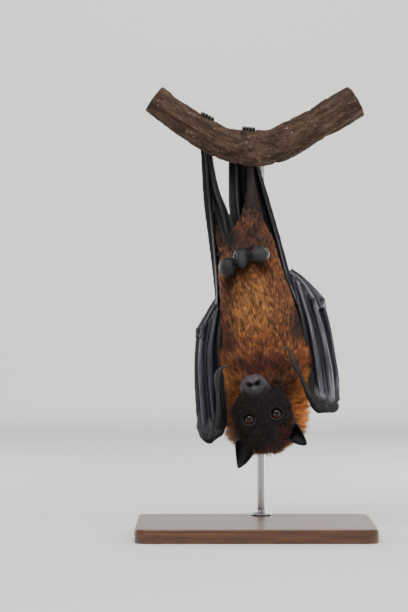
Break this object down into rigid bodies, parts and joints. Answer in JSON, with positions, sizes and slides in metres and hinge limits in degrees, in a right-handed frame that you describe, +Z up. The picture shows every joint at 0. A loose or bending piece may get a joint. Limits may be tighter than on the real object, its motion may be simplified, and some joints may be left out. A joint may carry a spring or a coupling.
{
  "type": "fruit bat model",
  "caption": "Life-size hanging fruit bat with folded wings, golden brown belly fur and a black face, gripping a cut branch on a flat wooden stand.",
  "frame": {"origin": "middle of the underside of the base", "axes": "+Z up through the hanging bat, -Y the way its belly faces, +X its right side"},
  "size_m": [0.244, 0.164, 0.4618],
  "materials": {
    "fur": "long soft hair, golden brown on the belly, orange on the mantle, near black on the face and legs",
    "bare_skin": "bare slate-grey to black skin with fine creases",
    "wing_skin": "folded blue-black wing membrane with a soft sheen",
    "eye": "wet brown eye, polished",
    "claw": "dark horn, smooth",
    "bark": "rough brown bark with pale flecks",
    "base_wood": "dark stained wood, satin",
    "rod_steel": "brushed"
  },
  "bodies": {
    "root": {"ear_left": "bare_skin", "ear_right": "bare_skin", "eye_left": "eye", "eye_right": "eye", "fingers_left": "wing_skin", "fingers_right": "wing_skin", "flank_membrane_left": "wing_skin", "flank_membrane_right": "wing_skin", "foot_left": "bare_skin", "foot_right": "bare_skin", "forearm_left": "wing_skin", "forearm_right": "wing_skin", "hand_left": "wing_skin", "hand_right": "wing_skin", "head": "fur", "leg_left": "fur", "leg_right": "fur", "neck": "fur", "perch": "bark", "scrotum": "bare_skin", "stand_base": "base_wood", "stand_rod": "rod_steel", "tail_membrane_left": "wing_skin", "tail_membrane_right": "wing_skin", "thumb_claw_left": "claw", "thumb_claw_right": "claw", "thumb_left": "wing_skin", "thumb_right": "wing_skin", "toe_claw_left_1": "claw", "toe_claw_left_2": "claw", "toe_claw_left_3": "claw", "toe_claw_left_4": "claw", "toe_claw_left_5": "claw", "toe_claw_right_1": "claw", "toe_claw_right_2": "claw", "toe_claw_right_3": "claw", "toe_claw_right_4": "claw", "toe_claw_right_5": "claw", "trunk": "fur", "upper_arm_left": "fur", "upper_arm_right": "fur", "wing_tip_left": "wing_skin", "wing_tip_right": "wing_skin", "wrist_left": "wing_skin", "wrist_right": "wing_skin"}
  },
  "joints": []
}
